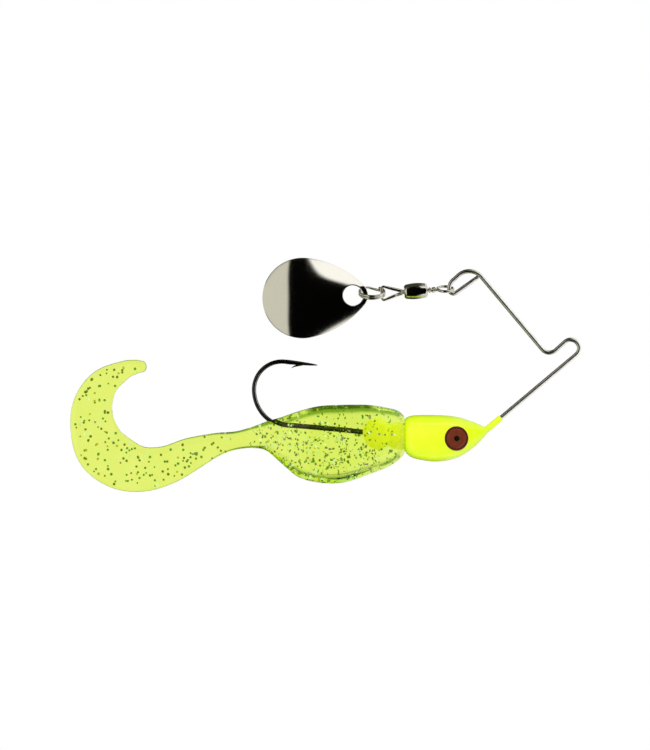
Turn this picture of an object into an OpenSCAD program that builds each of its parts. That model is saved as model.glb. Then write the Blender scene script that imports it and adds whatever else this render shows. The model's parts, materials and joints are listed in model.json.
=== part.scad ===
// Small spinnerbait: a lead head on a bent wire arm, a soft grub with a curled
// tail on the hook, and a single domed blade behind a barrel swivel.
// Millimetres. The origin is the centre of the bend that the line is tied to;
// +X points the way the lure swims, +Z is up.

/* [Wire arm] */
// Diameter of the spring wire
wire_d = 0.66; // [0.5:0.02:0.7]
// Bend radius of the line tie, at the middle of the wire
tie_radius = 1.35; // [1.3:0.05:1.5]
// Length of the lower arm, from the line tie to the bend inside the head
lower_arm = 19.2; // [19.1:0.05:19.3]
// Steepness of the lower arm in degrees
lower_pitch = 40; // [39.5:0.5:40.5]
// Length of the upper arm between its bends
upper_arm = 15.1; // [15:0.02:15.3]

/* [Hook] */
// Diameter of the hook wire
hook_d = 0.7; // [0.6:0.05:0.75]
// Straight length from the eye's middle to the bend
shank_length = 27.95; // [27.8:0.05:28.1]
// Downward slope of the shank towards the head in degrees
shank_pitch = 4.5; // [4:0.5:5]
// Radius of the lower half of the hook bend
bend_lower_r = 6.08; // [5.9:0.02:6.2]
// Radius of the upper half of the hook bend
bend_upper_r = 4.48; // [4.3:0.02:4.6]

/* [Lead head] */
// Thickness of the painted head, cheek to cheek
head_thickness = 6.2; // [5.8:0.1:6.4]
// Radius of the collar of lead around the wire
collar_r = 0.52; // [0.45:0.01:0.6]
// Radius of the barbs that keep the grub on
keeper_r = 2.15; // [1.6:0.05:2.3]

/* [Eyes] */
// Radius of the eye disc
eye_r = 1.95; // [1.7:0.05:2]
// Radial gap around the disc in its pocket
eye_gap = 0.05; // [0.03:0.01:0.1]

/* [Grub] */
// Widest thickness of the grub's body
grub_thickness = 8.8; // [8:0.1:9]
// Thickness of the curled tail at its middle
tail_thickness = 1.1; // [0.9:0.1:1.4]
// Gap between the body and the tail where the tail flexes
tail_gap = 0.35; // [0.25:0.05:0.5]

/* [Blade] */
// Radius of the round end of the blade
blade_r = 6.45; // [6.2:0.05:6.6]
// Radius of the narrow end of the blade
blade_tip_r = 2.4; // [2.2:0.05:2.5]
// Height of the dome
blade_dome = 2; // [1.5:0.1:2.5]
// Sheet thickness
blade_t = 0.5; // [0.4:0.05:0.6]
// Radius of the hole for the split ring
blade_hole_r = 1.6; // [1.5:0.05:1.7]

/* [Split ring and swivel] */
// Radius of the split ring at the middle of its wire
ring_r = 2; // [1.95:0.01:2.02]
// Diameter of the split ring's wire, two coils of it side by side
ring_wire = 0.4; // [0.36:0.02:0.42]
// Outside diameter of the swivel barrel
barrel_d = 2.6; // [2.3:0.1:2.8]
// Length of the swivel barrel
barrel_length = 3.8; // [3.6:0.1:4]
// Gap around each eye's stem in the barrel
stem_gap = 0.06; // [0.04:0.01:0.1]

/* [Hidden] */
$fn = 64;

chartreuse = [0.87, 0.98, 0.12];
clear_chartreuse = [0.80, 0.92, 0.25];
steel = [0.72, 0.73, 0.75];
nickel = [0.80, 0.79, 0.76];
black_nickel = [0.16, 0.16, 0.18];
brown = [0.42, 0.14, 0.07];

wire_r = wire_d / 2;
hook_r = hook_d / 2;
rod_sides = 16;
bend_step = 11;                       // degrees between the rings of a bend

// The wire runs both ways from the lower end of the line tie: down into the head, and up to
// where the swivel hangs and back again. Each step is [feed, bend radius, bend angle, roll].
tie_end = tie_radius * [sin(lower_pitch), 0, -cos(lower_pitch)];
wire_down = [[lower_arm, 1, -lower_pitch, 0], [1.92, 0.8, 90, 0], [1.7, 0, 0, 0]];
wire_up = [[0, tie_radius, 182, 0], [1.98, 1.52, -92, 0], [upper_arm, 2.56, 92, 0], [1.15, 1.92, 48, 0]];
wire_back = [[0, 0.72, 125, -10], [4.35, 0, 0, 0]];    // its roll leans it behind the arm

// The wire's foot points down inside the head, through the hook's eye
eye_above_foot = 1.23;
hook_eye_r = 1.1;
neck_r = 0.27;                        // the shank narrows where it meets the eye
neck_length = 1.2;
hook_bends = [[shank_length, bend_lower_r, 90 - shank_pitch, 180], [0, bend_upper_r, 97.5, 180]];
point_length = 5.16;
point_taper = 4.4;
barb_from_bend = 1.75;
barb_tip = [-0.8, -0.92];             // along the point and away from it
barb_t = 0.22;

// Head: [x, top, bottom, half thickness as a share of the widest]
head_shape = [[-26.6, -11.45, -16.35, 0.72], [-26.2, -11.05, -16.95, 0.83], [-25, -10.75, -17.65, 0.94],
              [-21.3, -10.7, -18.15, 1], [-18, -11, -17.5, 0.89], [-15.5, -11.8, -15.9, 0.62],
              [-14, -12.45, -14.4, 0.36], [-13.3, -12.65, -13.55, 0.22]];
head_squareness = 2.6;
collar_from_tie = 15.8;               // where the collar ends, along the lower arm
collar_length = 4.2;                  // down into the nose
keeper_back = -33.5;
keeper_front = -26.2;                 // inside the head's back face
keeper_core_r = 1;
keeper_barb = 3;                      // each barb's length, with the flat behind it
keeper_flat = 0.4;

// The tail turns about the middle of its rounded front edge
tail_hinge_x = -50.6;
tail_front_r = 1.55;
grub_back = tail_hinge_x + tail_front_r + tail_gap;

// Grub body: [x, top, bottom, half thickness as a share of the widest]
grub_shape = [[grub_back, -11.75, -16.4, 0.44], [-46.2, -11, -18.5, 0.62], [-43.6, -10.1, -20.6, 0.83],
              [-40.4, -9.3, -21.5, 0.97], [-37.2, -9.1, -21.6, 1], [-34.7, -9.05, -21.1, 0.98],
              [-32.1, -9.1, -20.15, 0.93], [-29.5, -9.5, -19.15, 0.85], [-27.6, -10, -18, 0.75],
              [-26.7, -10.8, -17, 0.62]];
grub_squareness = 2.1;

// Tail: [station, x, z, half height, half thickness as a share of the tail's middle]
tail_shape = [[0, tail_hinge_x, -14.25, 1.75, 2.7], [1, -53.4, -14.75, 1.45, 2.3],
              [2, -56.6, -15.4, 1.85, 1.5], [3, -60.6, -16.9, 2.65, 1.15], [4, -64.6, -18.7, 3.1, 1.05],
              [5, -68.4, -19.35, 3.6, 1], [6, -71.9, -18.5, 4.15, 1], [7, -75, -16.15, 4.2, 0.95],
              [8, -76.5, -12.2, 3.6, 0.9], [9, -76.35, -8.7, 3.1, 0.85], [10, -74.65, -5.6, 2.4, 0.8],
              [11, -71.4, -3.5, 1.5, 0.75], [12, -68.6, -2.9, 0.72, 0.7], [12.3, -67.95, -2.95, 0.3, 0.6]];

// Eyes lie on the cheeks, which draw in towards the nose
eye_x = -18.4;
eye_z = -14.4;
eye_floor = 2.38;
eye_toe_in = 10.5;
eye_edge = 0.3;
eye_dome = 0.42;
pocket_depth = 3;                     // cuts clear of the cheek

// Swivel: its axis climbs gently towards the wire loop
swivel_pitch = 4;
loop_tilt = 20;                       // the near side of the round loop hangs lower
loop_r = 1.25;
loop_wire_r = 0.2;
loop_gap = 0.12;                      // between the round loop and the wire inside it
loop_from_middle = 4.75;
stem_r = 0.3;
stem_head_r = 0.75;
stem_head_t = 0.4;
neck_wrap_r = 0.45;                   // the wrapped wire round each stem, outside the barrel
neck_wrap_clear = 0.25;
barrel_wall = 0.25;
barrel_end_t = 0.45;
barrel_edge_r = 0.5;
barrel_cavity_edge_r = 0.25;
end_play = 0.08;
bar_from_middle = 5.5;                // the rear eye's straight bar, from the barrel's middle
bar_half = 1.2;
rear_wire_r = 0.2;
rear_corner_r = 0.4;
rear_neck = 2.4;
rear_leg_gap = 0.22;                  // from the axis to each leg where they meet the neck

// The split ring hangs round the rear eye's bar and through the blade's hole
ring_gap = 0.08;                      // between the ring and the bar inside it
ring_rise = 0.1;                      // the ring sits a little above the bar's middle
ring_tilt = 23;
blade_at = [-42.9, 0.24, 8.02];
blade_pitch = 2.8;
blade_reach = 8.08;                   // from the round end's centre to the narrow end's centre
flank_r = 15;                         // the blade's sides bow out a little

// ---------------------------------------------------------------- curves

// A vector turned about a unit axis
function turned(v, axis, a) =
    v * cos(a) + cross(axis, v) * sin(a) + axis * (axis * v) * (1 - cos(a));

// One step of bending a rod: it runs straight, then bends. A state is [place, heading, side].
function bend_states(s, step) =
    let (start = s[0] + s[1] * step[0],
         towards = (step[2] < 0 ? -1 : 1) * (s[2] * cos(step[3]) + cross(s[1], s[2]) * sin(step[3])),
         axis = cross(s[1], towards),
         centre = start + towards * step[1],
         count = step[1] > 0 ? ceil(abs(step[2]) / bend_step) : 0)
    concat(step[0] > 0 ? [[start, s[1], s[2]]] : [],
           [for (i = [1:1:count]) let (a = abs(step[2]) * i / count)
               [centre - turned(towards, axis, a) * step[1], turned(s[1], axis, a), turned(s[2], axis, a)]]);

function rod_states(s, steps, i = 0) =
    i >= len(steps) ? [] :
    let (more = bend_states(s, steps[i]))
    concat(more, rod_states(more[len(more) - 1], steps, i + 1));

function reversed(list) = [for (i = [len(list) - 1:-1:0]) list[i]];

// The ring of points around one state of a rod
function rod_ring(s, r) =
    [for (i = [0:rod_sides - 1]) let (a = 360 * i / rod_sides)
        s[0] + r * (s[2] * cos(a) + cross(s[1], s[2]) * sin(a))];

// A smooth curve through a table whose first column rises
function segment_of(table, x, i = 0) =
    i >= len(table) - 2 || x <= table[i + 1][0] ? i : segment_of(table, x, i + 1);
function slope_at(table, i, column) =
    let (a = table[max(i - 1, 0)], b = table[min(i + 1, len(table) - 1)])
    (b[column] - a[column]) / (b[0] - a[0]);
function smooth(table, x, column) =
    let (i = segment_of(table, x), a = table[i], b = table[i + 1], h = b[0] - a[0], u = (x - a[0]) / h)
    a[column] * (2 * pow(u, 3) - 3 * u * u + 1)
    + b[column] * (3 * u * u - 2 * pow(u, 3))
    + h * slope_at(table, i, column) * (pow(u, 3) - 2 * u * u + u)
    + h * slope_at(table, i + 1, column) * (pow(u, 3) - u * u);

// One point of a rounded-square oval of half sizes 1
function oval(a, squareness) =
    [sign(cos(a)) * pow(abs(cos(a)), 2 / squareness), sign(sin(a)) * pow(abs(sin(a)), 2 / squareness)];

// A closed solid through rings that all have the same number of points
module skin(rings) {
    n = len(rings[0]);
    last = (len(rings) - 1) * n;
    polyhedron(
        points = [for (ring = rings) each ring],
        faces = concat(
            [[for (i = [0:n - 1]) i]],
            [[for (i = [n - 1:-1:0]) last + i]],
            [for (k = [0:len(rings) - 2], i = [0:n - 1])
                [k * n + i, (k + 1) * n + i, (k + 1) * n + (i + 1) % n, k * n + (i + 1) % n]]),
        convexity = 10);
}

module rod(states, r) skin([for (s = states) rod_ring(s, r)]);

// A solid along X with an oval section that follows a shape table
module loft_along_x(shape, half_thickness, squareness, stations, sides) {
    first = shape[0][0];
    span = shape[len(shape) - 1][0] - first;
    skin([for (k = [0:stations])
        let (x = first + span * (1 - cos(180 * k / stations)) / 2,
             top = smooth(shape, x, 1), bottom = smooth(shape, x, 2),
             half = half_thickness * smooth(shape, x, 3))
        [for (i = [0:sides - 1]) let (o = oval(360 * i / sides, squareness))
            [x, half * o[0], (top + bottom) / 2 + (top - bottom) / 2 * o[1]]]]);
}

// ---------------------------------------------------------------- wire and hook

arm_heading = [cos(lower_pitch), 0, sin(lower_pitch)];
arm_side = [-sin(lower_pitch), 0, cos(lower_pitch)];
down_states = rod_states([tie_end, -arm_heading, -arm_side], wire_down);
up_states = rod_states([tie_end, arm_heading, arm_side], wire_up);

// The swivel's round loop hangs on the wire where the way up ends
hang_state = up_states[len(up_states) - 1];
back_states = rod_states(hang_state, wire_back);
loop_at = hang_state[0] - [loop_r - loop_wire_r - wire_r - loop_gap, 0, 0];
swivel_axis = [cos(swivel_pitch), 0, sin(swivel_pitch)];
swivel_at = loop_at - loop_from_middle * swivel_axis;
bar_at = swivel_at - bar_from_middle * swivel_axis;
ring_at = bar_at + [rear_wire_r + ring_gap + ring_wire / 2 - ring_r, 0, ring_rise];

hook_eye = down_states[len(down_states) - 1][0] + [0, 0, eye_above_foot];

module wire_solid() rod(concat([for (s = reversed(down_states)) [s[0], -s[1], -s[2]]],
                               [[tie_end, arm_heading, arm_side]], up_states, back_states), wire_r);

shank_heading = [-cos(shank_pitch), 0, sin(shank_pitch)];
shank_side = [-sin(shank_pitch), 0, -cos(shank_pitch)];
hook_states = rod_states([hook_eye, shank_heading, shank_side], hook_bends);
hook_end = hook_states[len(hook_states) - 1];

function point_state(along) = [hook_end[0] + hook_end[1] * along, hook_end[1], hook_end[2]];
function point_radius(along) =
    hook_r * sqrt(max(0, min(1, (point_length - along) / point_taper))) + 0.02;

module hook_wire() {
    start = hook_eye + shank_heading * hook_eye_r;
    skin(concat([rod_ring([start, shank_heading, shank_side], neck_r)],
                [rod_ring([start + shank_heading * neck_length, shank_heading, shank_side], hook_r)],
                [for (s = hook_states) rod_ring(s, hook_r)],
                [for (along = [point_length - point_taper:0.55:point_length])
                    rod_ring(point_state(along), point_radius(along))],
                [rod_ring(point_state(point_length), point_radius(point_length))]));
}

module barb() {
    slope = atan2(-hook_end[1][2], hook_end[1][0]);
    translate(point_state(barb_from_bend)[0]) rotate([90, slope, 0]) linear_extrude(barb_t, center = true)
        polygon([[0, -0.1], barb_tip, [1, -0.1]]);
}

module hook_eye_ring() translate(hook_eye) rotate([0, shank_pitch, 0])
    rotate_extrude() translate([hook_eye_r, 0]) circle(hook_r);

module wire_arm() color(steel) wire_solid();

module hook() color(black_nickel) {
    hook_wire();
    hook_eye_ring();
    barb();
}

// ---------------------------------------------------------------- head and eyes

// Places its children at an eye's pocket floor, facing out; side is 1 for the far cheek
module at_eye(side) translate([eye_x, side * eye_floor, eye_z])
    rotate([0, 0, side * (90 - eye_toe_in)]) rotate([0, 90, 0]) children();

module eye(side) color(brown) at_eye(side) {
    cylinder(r = eye_r, h = eye_edge);
    translate([0, 0, eye_edge]) intersection() {
        cylinder(r = eye_r, h = eye_dome);
        dome_r = (eye_r * eye_r + eye_dome * eye_dome) / (2 * eye_dome);
        translate([0, 0, eye_dome - dome_r]) sphere(dome_r);
    }
}

module keeper() translate(hook_eye) rotate([0, shank_pitch - 90, 0]) {
    to_back = hook_eye[0] - keeper_back;
    to_head = hook_eye[0] - keeper_front;
    translate([0, 0, to_head]) cylinder(r = keeper_core_r, h = to_back - to_head);
    for (i = [1, 2]) translate([0, 0, to_back - i * keeper_barb])
        cylinder(r1 = keeper_r, r2 = keeper_core_r + 0.05, h = keeper_barb - keeper_flat);
}

module collar() translate(tie_end - (collar_from_tie + collar_length) * arm_heading)
    rotate([0, 90 - lower_pitch, 0]) cylinder(r = collar_r, h = collar_length);

module lead_head() color(chartreuse) difference() {
    union() {
        loft_along_x(head_shape, head_thickness / 2, head_squareness, 20, 32);
        collar();
        keeper();
    }
    wire_solid();
    hook_wire();
    hook_eye_ring();
    for (side = [-1, 1]) at_eye(side) cylinder(r = eye_r + eye_gap, h = pocket_depth);
}

// ---------------------------------------------------------------- grub

module grub_body() color(clear_chartreuse) difference() {
    loft_along_x(grub_shape, grub_thickness / 2, grub_squareness, 22, 32);
    hook_wire();
    keeper();
}

function tail_middle(s) = [smooth(tail_shape, s, 1), 0, smooth(tail_shape, s, 2)];
function tail_ring(middle, up, half, half_t) =
    [for (i = [15:-1:0]) let (o = oval(22.5 * i, 2.3))
        middle + up * half * o[1] + [0, half_t * o[0], 0]];

module grub_tail() color(clear_chartreuse) {
    front = tail_shape[0];
    skin(concat(
        [for (a = [80, 60, 40, 20])
            tail_ring([tail_hinge_x + tail_front_r * sin(a), 0, front[2]], [0, 0, 1],
                      front[3] + 0.15 * sin(a), tail_front_r * cos(a))],
        [for (s = [0:0.3:12.3])
            let (ahead = tail_middle(s + 0.02) - tail_middle(s - 0.02), along = ahead / norm(ahead))
            tail_ring(tail_middle(s), [along[2], 0, -along[0]], smooth(tail_shape, s, 3),
                      tail_thickness / 2 * smooth(tail_shape, s, 4))]));
}

// ---------------------------------------------------------------- swivel

// Places its children on the swivel's axis, with Z along it towards the wire loop
module on_swivel_axis() translate(swivel_at) rotate([0, 90 - swivel_pitch, 0]) children();

module swivel_barrel() color(nickel) on_swivel_axis() rotate_extrude() difference() {
    barrel_profile(barrel_d / 2, barrel_length, barrel_edge_r);
    barrel_profile(barrel_d / 2 - barrel_wall, barrel_length - 2 * barrel_end_t, barrel_cavity_edge_r);
    square([2 * (stem_r + stem_gap), 2 * barrel_length], center = true);
}

// Half of a drum's outline with rounded ends
module barrel_profile(r, length, edge) {
    translate([0, -length / 2]) square([r - edge, length]);
    translate([0, edge - length / 2]) square([r, length - 2 * edge]);
    for (end = [-1, 1]) translate([r - edge, end * (length / 2 - edge)]) circle(edge);
}

// A stem through one end of the barrel, with its head inside; end is 1 for the wire's end
module stem(end, reach, wrap_length) {
    overlap = 0.1;
    inner_end = barrel_length / 2 - barrel_end_t - end_play;
    mirror([0, 0, end < 0 ? 1 : 0]) {
        translate([0, 0, inner_end - stem_head_t]) cylinder(r = stem_head_r, h = stem_head_t);
        translate([0, 0, inner_end - overlap]) cylinder(r = stem_r, h = reach - inner_end + overlap);
        translate([0, 0, barrel_length / 2 + neck_wrap_clear]) cylinder(r = neck_wrap_r, h = wrap_length);
    }
}

module swivel_front_eye() color(nickel) {
    on_swivel_axis() stem(1, loop_from_middle - loop_r + 0.05, 1.25);
    translate(loop_at) rotate([loop_tilt, 0, 0])
        rotate_extrude() translate([loop_r, 0]) circle(loop_wire_r);
}

module swivel_rear_eye() color(nickel) on_swivel_axis() {
    stem(-1, rear_neck, 0.5);
    run = bar_from_middle - rear_neck;
    rise = bar_half - rear_leg_gap;
    lean = atan(rise / run);
    setback = rear_corner_r * tan((90 + lean) / 2);
    leg = norm([run, rise]) - setback;
    start = [[rear_leg_gap, 0, -rear_neck], [sin(lean), 0, -cos(lean)], [-cos(lean), 0, -sin(lean)]];
    rod(concat([start], rod_states(start, [[leg, rear_corner_r, 90 + lean, 0],
        [2 * (bar_half - setback), rear_corner_r, 90 + lean, 0], [leg, 0, 0, 0]])), rear_wire_r);
}

// ---------------------------------------------------------------- ring and blade

module split_ring() color(nickel) translate(ring_at) rotate([ring_tilt, 0, 0])
    rotate_extrude() translate([ring_r, 0]) {
        square([ring_wire, ring_wire], center = true);
        for (side = [-1, 1]) translate([0, side * ring_wire / 2]) circle(ring_wire / 2);
    }

// The blade's outline about its round end's centre, narrow end towards +X
function arc(centre, r, from, to, count) =
    [for (i = [0:count - 1]) let (a = from + (to - from) * i / count) centre + r * [cos(a), sin(a)]];
function blade_outline() =
    let (a = flank_r - blade_r, b = flank_r - blade_tip_r,
         at_round = 180 - acos((a * a + blade_reach * blade_reach - b * b) / (2 * a * blade_reach)),
         flank = a * [-cos(at_round), -sin(at_round)],
         at_tip = atan2(-flank[1], blade_reach - flank[0]))
    reversed(concat(arc([0, 0], blade_r, at_round, 360 - at_round, 32),
           arc([flank[0], -flank[1]], flank_r, -at_round, -at_tip, 6),
           arc([blade_reach, 0], blade_tip_r, -at_tip, at_tip, 10),
           arc(flank, flank_r, at_tip, at_round, 6)));

// The outline drawn in to a share of its size, at its height on the dome
function level_ring(outline, share, y) =
    [for (p = outline) [p[0] * share, y - blade_dome * (1 - share * share), p[1] * share]];

module blade() color(nickel) translate(blade_at) rotate([0, -blade_pitch, 0]) difference() {
    outline = blade_outline();
    levels = [0.08, 0.25, 0.42, 0.58, 0.72, 0.84, 0.93, 1];    // closer together near the edge
    skin(concat([for (share = levels) level_ring(outline, share, 0)],
                [for (share = reversed(levels)) level_ring(outline, share, blade_t)]));
    translate([blade_reach, 0, 0]) rotate([90, 0, 0]) cylinder(r = blade_hole_r, h = 8, center = true);
}

wire_arm();
lead_head();
hook();
eye(1);  // eye_left
eye(-1);  // eye_right
grub_body();
grub_tail();
swivel_front_eye();
swivel_barrel();
swivel_rear_eye();
split_ring();
blade();
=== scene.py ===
"""Looks for a small spinnerbait: glossy head, translucent flaked grub, mirror blade and bright hardware."""
import json
import math
import random

import bmesh
import bpy
from mathutils import Matrix, Vector
from mathutils.bvhtree import BVHTree


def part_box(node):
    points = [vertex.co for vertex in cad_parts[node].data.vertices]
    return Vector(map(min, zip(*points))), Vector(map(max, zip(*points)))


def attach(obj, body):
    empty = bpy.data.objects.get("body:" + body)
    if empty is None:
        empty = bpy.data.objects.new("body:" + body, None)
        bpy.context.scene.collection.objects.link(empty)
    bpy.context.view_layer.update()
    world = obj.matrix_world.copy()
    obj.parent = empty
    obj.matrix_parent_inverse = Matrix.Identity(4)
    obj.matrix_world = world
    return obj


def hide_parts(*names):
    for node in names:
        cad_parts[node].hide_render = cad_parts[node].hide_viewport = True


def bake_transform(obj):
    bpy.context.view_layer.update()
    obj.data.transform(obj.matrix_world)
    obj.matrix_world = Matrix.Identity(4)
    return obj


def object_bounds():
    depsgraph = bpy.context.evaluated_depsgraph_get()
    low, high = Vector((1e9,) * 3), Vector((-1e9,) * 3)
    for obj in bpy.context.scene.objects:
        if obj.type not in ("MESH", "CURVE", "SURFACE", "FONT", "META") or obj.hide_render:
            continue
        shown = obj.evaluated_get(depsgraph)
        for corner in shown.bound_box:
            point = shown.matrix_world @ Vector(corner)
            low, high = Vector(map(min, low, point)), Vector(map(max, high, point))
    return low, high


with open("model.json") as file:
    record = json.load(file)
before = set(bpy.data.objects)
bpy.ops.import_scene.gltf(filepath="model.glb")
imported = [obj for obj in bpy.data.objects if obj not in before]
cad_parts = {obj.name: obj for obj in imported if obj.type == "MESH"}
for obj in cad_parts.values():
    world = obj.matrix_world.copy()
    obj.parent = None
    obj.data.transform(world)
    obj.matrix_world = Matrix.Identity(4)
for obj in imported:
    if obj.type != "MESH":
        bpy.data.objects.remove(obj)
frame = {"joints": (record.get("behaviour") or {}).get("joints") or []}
cad_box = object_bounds()
joints = {j["name"]: j for j in frame["joints"]}

MM = 0.001
X, Y, Z = Vector((1, 0, 0)), Vector((0, 1, 0)), Vector((0, 0, 1))


# ------------------------------------------------------------------ places from the frame, in millimetres

def joint_place(name):
    return Vector(joints[name]["pos_m"]) / MM


def joint_axis(name):
    return Vector(joints[name]["axis"]).normalized()


def node_box(name):
    low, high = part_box(name)
    return low / MM, high / MM


# ------------------------------------------------------------------ mesh building

def raw_mesh(name, places, faces):
    """A mesh from places in millimetres."""
    mesh = bpy.data.meshes.new(name)
    mesh.from_pydata([Vector(p) * MM for p in places], [], faces)
    return mesh


def finished(name, mesh):
    """An object of the mesh, its faces turned outwards."""
    work = bmesh.new()
    work.from_mesh(mesh)
    bmesh.ops.recalc_face_normals(work, faces=work.faces)
    work.to_mesh(mesh)
    work.free()
    piece = bpy.data.objects.new(name, mesh)
    bpy.context.scene.collection.objects.link(piece)
    return piece


def shade_smooth(mesh):
    mesh.polygons.foreach_set("use_smooth", [True] * len(mesh.polygons))


def skin(name, rings, loop=False):
    """A closed solid through rings of equal count, or a ring-shaped one if it is a loop.

    Its UVs are the millimetres along it and the share of the way round.
    """
    count = len(rings[0])
    places = [p for ring in rings for p in ring]
    spans = len(rings) if loop else len(rings) - 1
    faces, uvs, along = [], [], [0.0]
    for before, after in zip(rings, rings[1:] + rings[:1]):
        along.append(along[-1] + (Vector(after[0]) - Vector(before[0])).length)
    for k in range(spans):
        a, b = k * count, ((k + 1) % len(rings)) * count
        for i in range(count):
            j = (i + 1) % count
            faces.append((a + i, a + j, b + j, b + i))
            uvs.append([(along[k], i / count), (along[k], (i + 1) / count),
                        (along[k + 1], (i + 1) / count), (along[k + 1], i / count)])
    if not loop:
        for ring in (0, len(rings) - 1):
            first, reached = ring * count, along[ring]
            places.append(sum((Vector(p) for p in rings[ring]), Vector()) / count)
            for i in range(count):
                faces.append((first + i, first + (i + 1) % count, len(places) - 1))
                uvs.append([(reached, i / count), (reached, (i + 1) / count), (reached, i / count)])
    mesh = raw_mesh(name, places, faces)
    layer = mesh.uv_layers.new(name="along")
    layer.data.foreach_set("uv", [c for corners in uvs for uv in corners for c in uv])
    shade_smooth(mesh)
    return finished(name, mesh)


# Round-overs, as [share of the section, share of the reach] from the last section to the end
BLUNT_END = ((0.97, 0.1), (0.86, 0.2), (0.62, 0.27))
FLAT_END = ((0.985, 0.3), (0.95, 0.6), (0.88, 0.8), (0.7, 0.94), (0.4, 1.0))
ROUND_END = ((0.985, 0.17), (0.94, 0.34), (0.87, 0.5), (0.77, 0.64), (0.64, 0.77), (0.48, 0.88), (0.3, 0.955),
             (0.12, 0.99))


def rounded_end(ring, reach, edges):
    """The rings of a round-over that closes in from a ring towards its end."""
    middle = sum(ring, Vector()) / len(ring)
    return [[middle + (p - middle) * share + reach * shift for p in ring] for share, shift in edges]


def tube(name, path, radius, sides=20, loop=False, flatten=1.0):
    """A round rod along a path, with blunt ends. radius is one number or one for each point of the path."""
    radii = radius if isinstance(radius, list) else [radius] * len(path)
    last = len(path) - 1
    side = None
    rings = []
    for i, place in enumerate(path):
        before = path[i - 1] if (loop or i > 0) else path[0]
        after = path[(i + 1) % len(path)] if (loop or i < last) else path[last]
        heading = (after - before).normalized()
        if side is None:
            side = heading.cross(Y if abs(heading.y) < 0.9 else Z).normalized()
        side = (side - heading * side.dot(heading)).normalized()
        across = heading.cross(side)
        rings.append([place + radii[i] * (side * math.cos(a) + across * flatten * math.sin(a))
                      for a in (2 * math.pi * k / sides for k in range(sides))])
    if not loop:
        start = rounded_end(rings[0], (path[0] - path[1]).normalized() * radii[0], BLUNT_END)
        end = rounded_end(rings[-1], (path[-1] - path[-2]).normalized() * radii[-1], BLUNT_END)
        rings = start[::-1] + rings + end
    return skin(name, rings, loop)


def lathe(name, profile, place, axis, sides=64):
    """A closed profile of (radius, height) turned about an axis."""
    axis = axis.normalized()
    side = axis.cross(Y if abs(axis.y) < 0.9 else X).normalized()
    across = axis.cross(side)
    rings = []
    for k in range(sides):
        a = 2 * math.pi * k / sides
        out = side * math.cos(a) + across * math.sin(a)
        rings.append([place + out * r + axis * h for r, h in profile])
    return skin(name, rings, loop=True)


def quarter(r, h, radius, start, count=6):
    """Profile points of a rounded corner about (r, h), through a quarter turn from start degrees."""
    return [(r + radius * math.cos(a), h + radius * math.sin(a))
            for a in (math.radians(start + 90 * k / count) for k in range(count + 1))]


def cap(radius, base, rise, steps):
    """Profile points of a shallow dome, from its edge to just short of its middle."""
    return [(radius * math.sin(a), base + rise * math.cos(a))
            for a in (math.pi / 2 * k / steps for k in range(steps, 0, -1))]


def bend_path(place, heading, side, bends, step=3):
    """The centreline of a bent rod.

    Each bend is (feed, radius, angle, roll): the rod runs straight, then bends towards side, or away from it
    where the angle is negative. The roll turns the bend about the rod. step is the degrees between points.
    """
    longest_span = 1.5
    path = [place.copy()]
    for feed, radius, angle, roll in bends:
        pieces = math.ceil(feed / longest_span)
        path += [place + heading * feed * (i + 1) / pieces for i in range(pieces)]
        place = place + heading * feed
        if radius == 0:
            continue
        across = heading.cross(side)
        towards = side * math.cos(math.radians(roll)) + across * math.sin(math.radians(roll))
        if angle < 0:
            towards = -towards
        axis = heading.cross(towards)
        centre = place + towards * radius
        count = math.ceil(abs(angle) / step)
        for i in range(1, count + 1):
            turned = Matrix.Rotation(math.radians(abs(angle)) * i / count, 3, axis)
            path.append(centre - (turned @ towards) * radius)
        heading, side, place = turned @ heading, turned @ side, path[-1]
    return path


def joined(name, pieces):
    """One object from several."""
    with bpy.context.temp_override(active_object=pieces[0], selected_editable_objects=pieces,
                                   selected_objects=pieces):
        bpy.ops.object.join()
    pieces[0].name = name
    return pieces[0]


def melted(piece, voxel, passes):
    """Melts overlapping solids into one even skin, with soft fillets between them."""
    melt = piece.modifiers.new("melt", "REMESH")
    melt.mode = "VOXEL"
    melt.voxel_size = voxel * MM
    melt.use_smooth_shade = True
    soften = piece.modifiers.new("soften", "SMOOTH")
    soften.factor = 0.5
    soften.iterations = passes
    graph = bpy.context.evaluated_depsgraph_get()
    graph.update()
    mesh = bpy.data.meshes.new_from_object(piece.evaluated_get(graph))
    piece.modifiers.clear()
    piece.data = mesh
    shade_smooth(mesh)
    return piece


def smooth(table, x, column):
    """A smooth curve through a column of a table whose first column rises."""
    i = max(k for k in range(len(table) - 1) if k == 0 or table[k][0] <= x)

    def slope(k):
        a, b = table[max(k - 1, 0)], table[min(k + 1, len(table) - 1)]
        return (b[column] - a[column]) / (b[0] - a[0])

    a, b = table[i], table[i + 1]
    h = b[0] - a[0]
    u = (x - a[0]) / h
    return (a[column] * (2 * u ** 3 - 3 * u ** 2 + 1) + slope(i) * h * (u ** 3 - 2 * u ** 2 + u)
            + b[column] * (3 * u ** 2 - 2 * u ** 3) + slope(i + 1) * h * (u ** 3 - u ** 2))


def oval(angle, squareness):
    """One point of a rounded-square oval of half sizes 1."""
    c, s = math.cos(angle), math.sin(angle)
    return (math.copysign(abs(c) ** (2 / squareness), c), math.copysign(abs(s) ** (2 / squareness), s))


# ------------------------------------------------------------------ materials

# Where a mix node keeps its colours among its sockets
COLOUR_A, COLOUR_B, COLOUR_OUT = 6, 7, 2


def plug(tree, socket, value):
    """Links a value to a socket if it comes from a node, and else sets it there."""
    if isinstance(value, bpy.types.NodeSocket):
        tree.links.new(value, socket)
    else:
        socket.default_value = value


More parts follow.
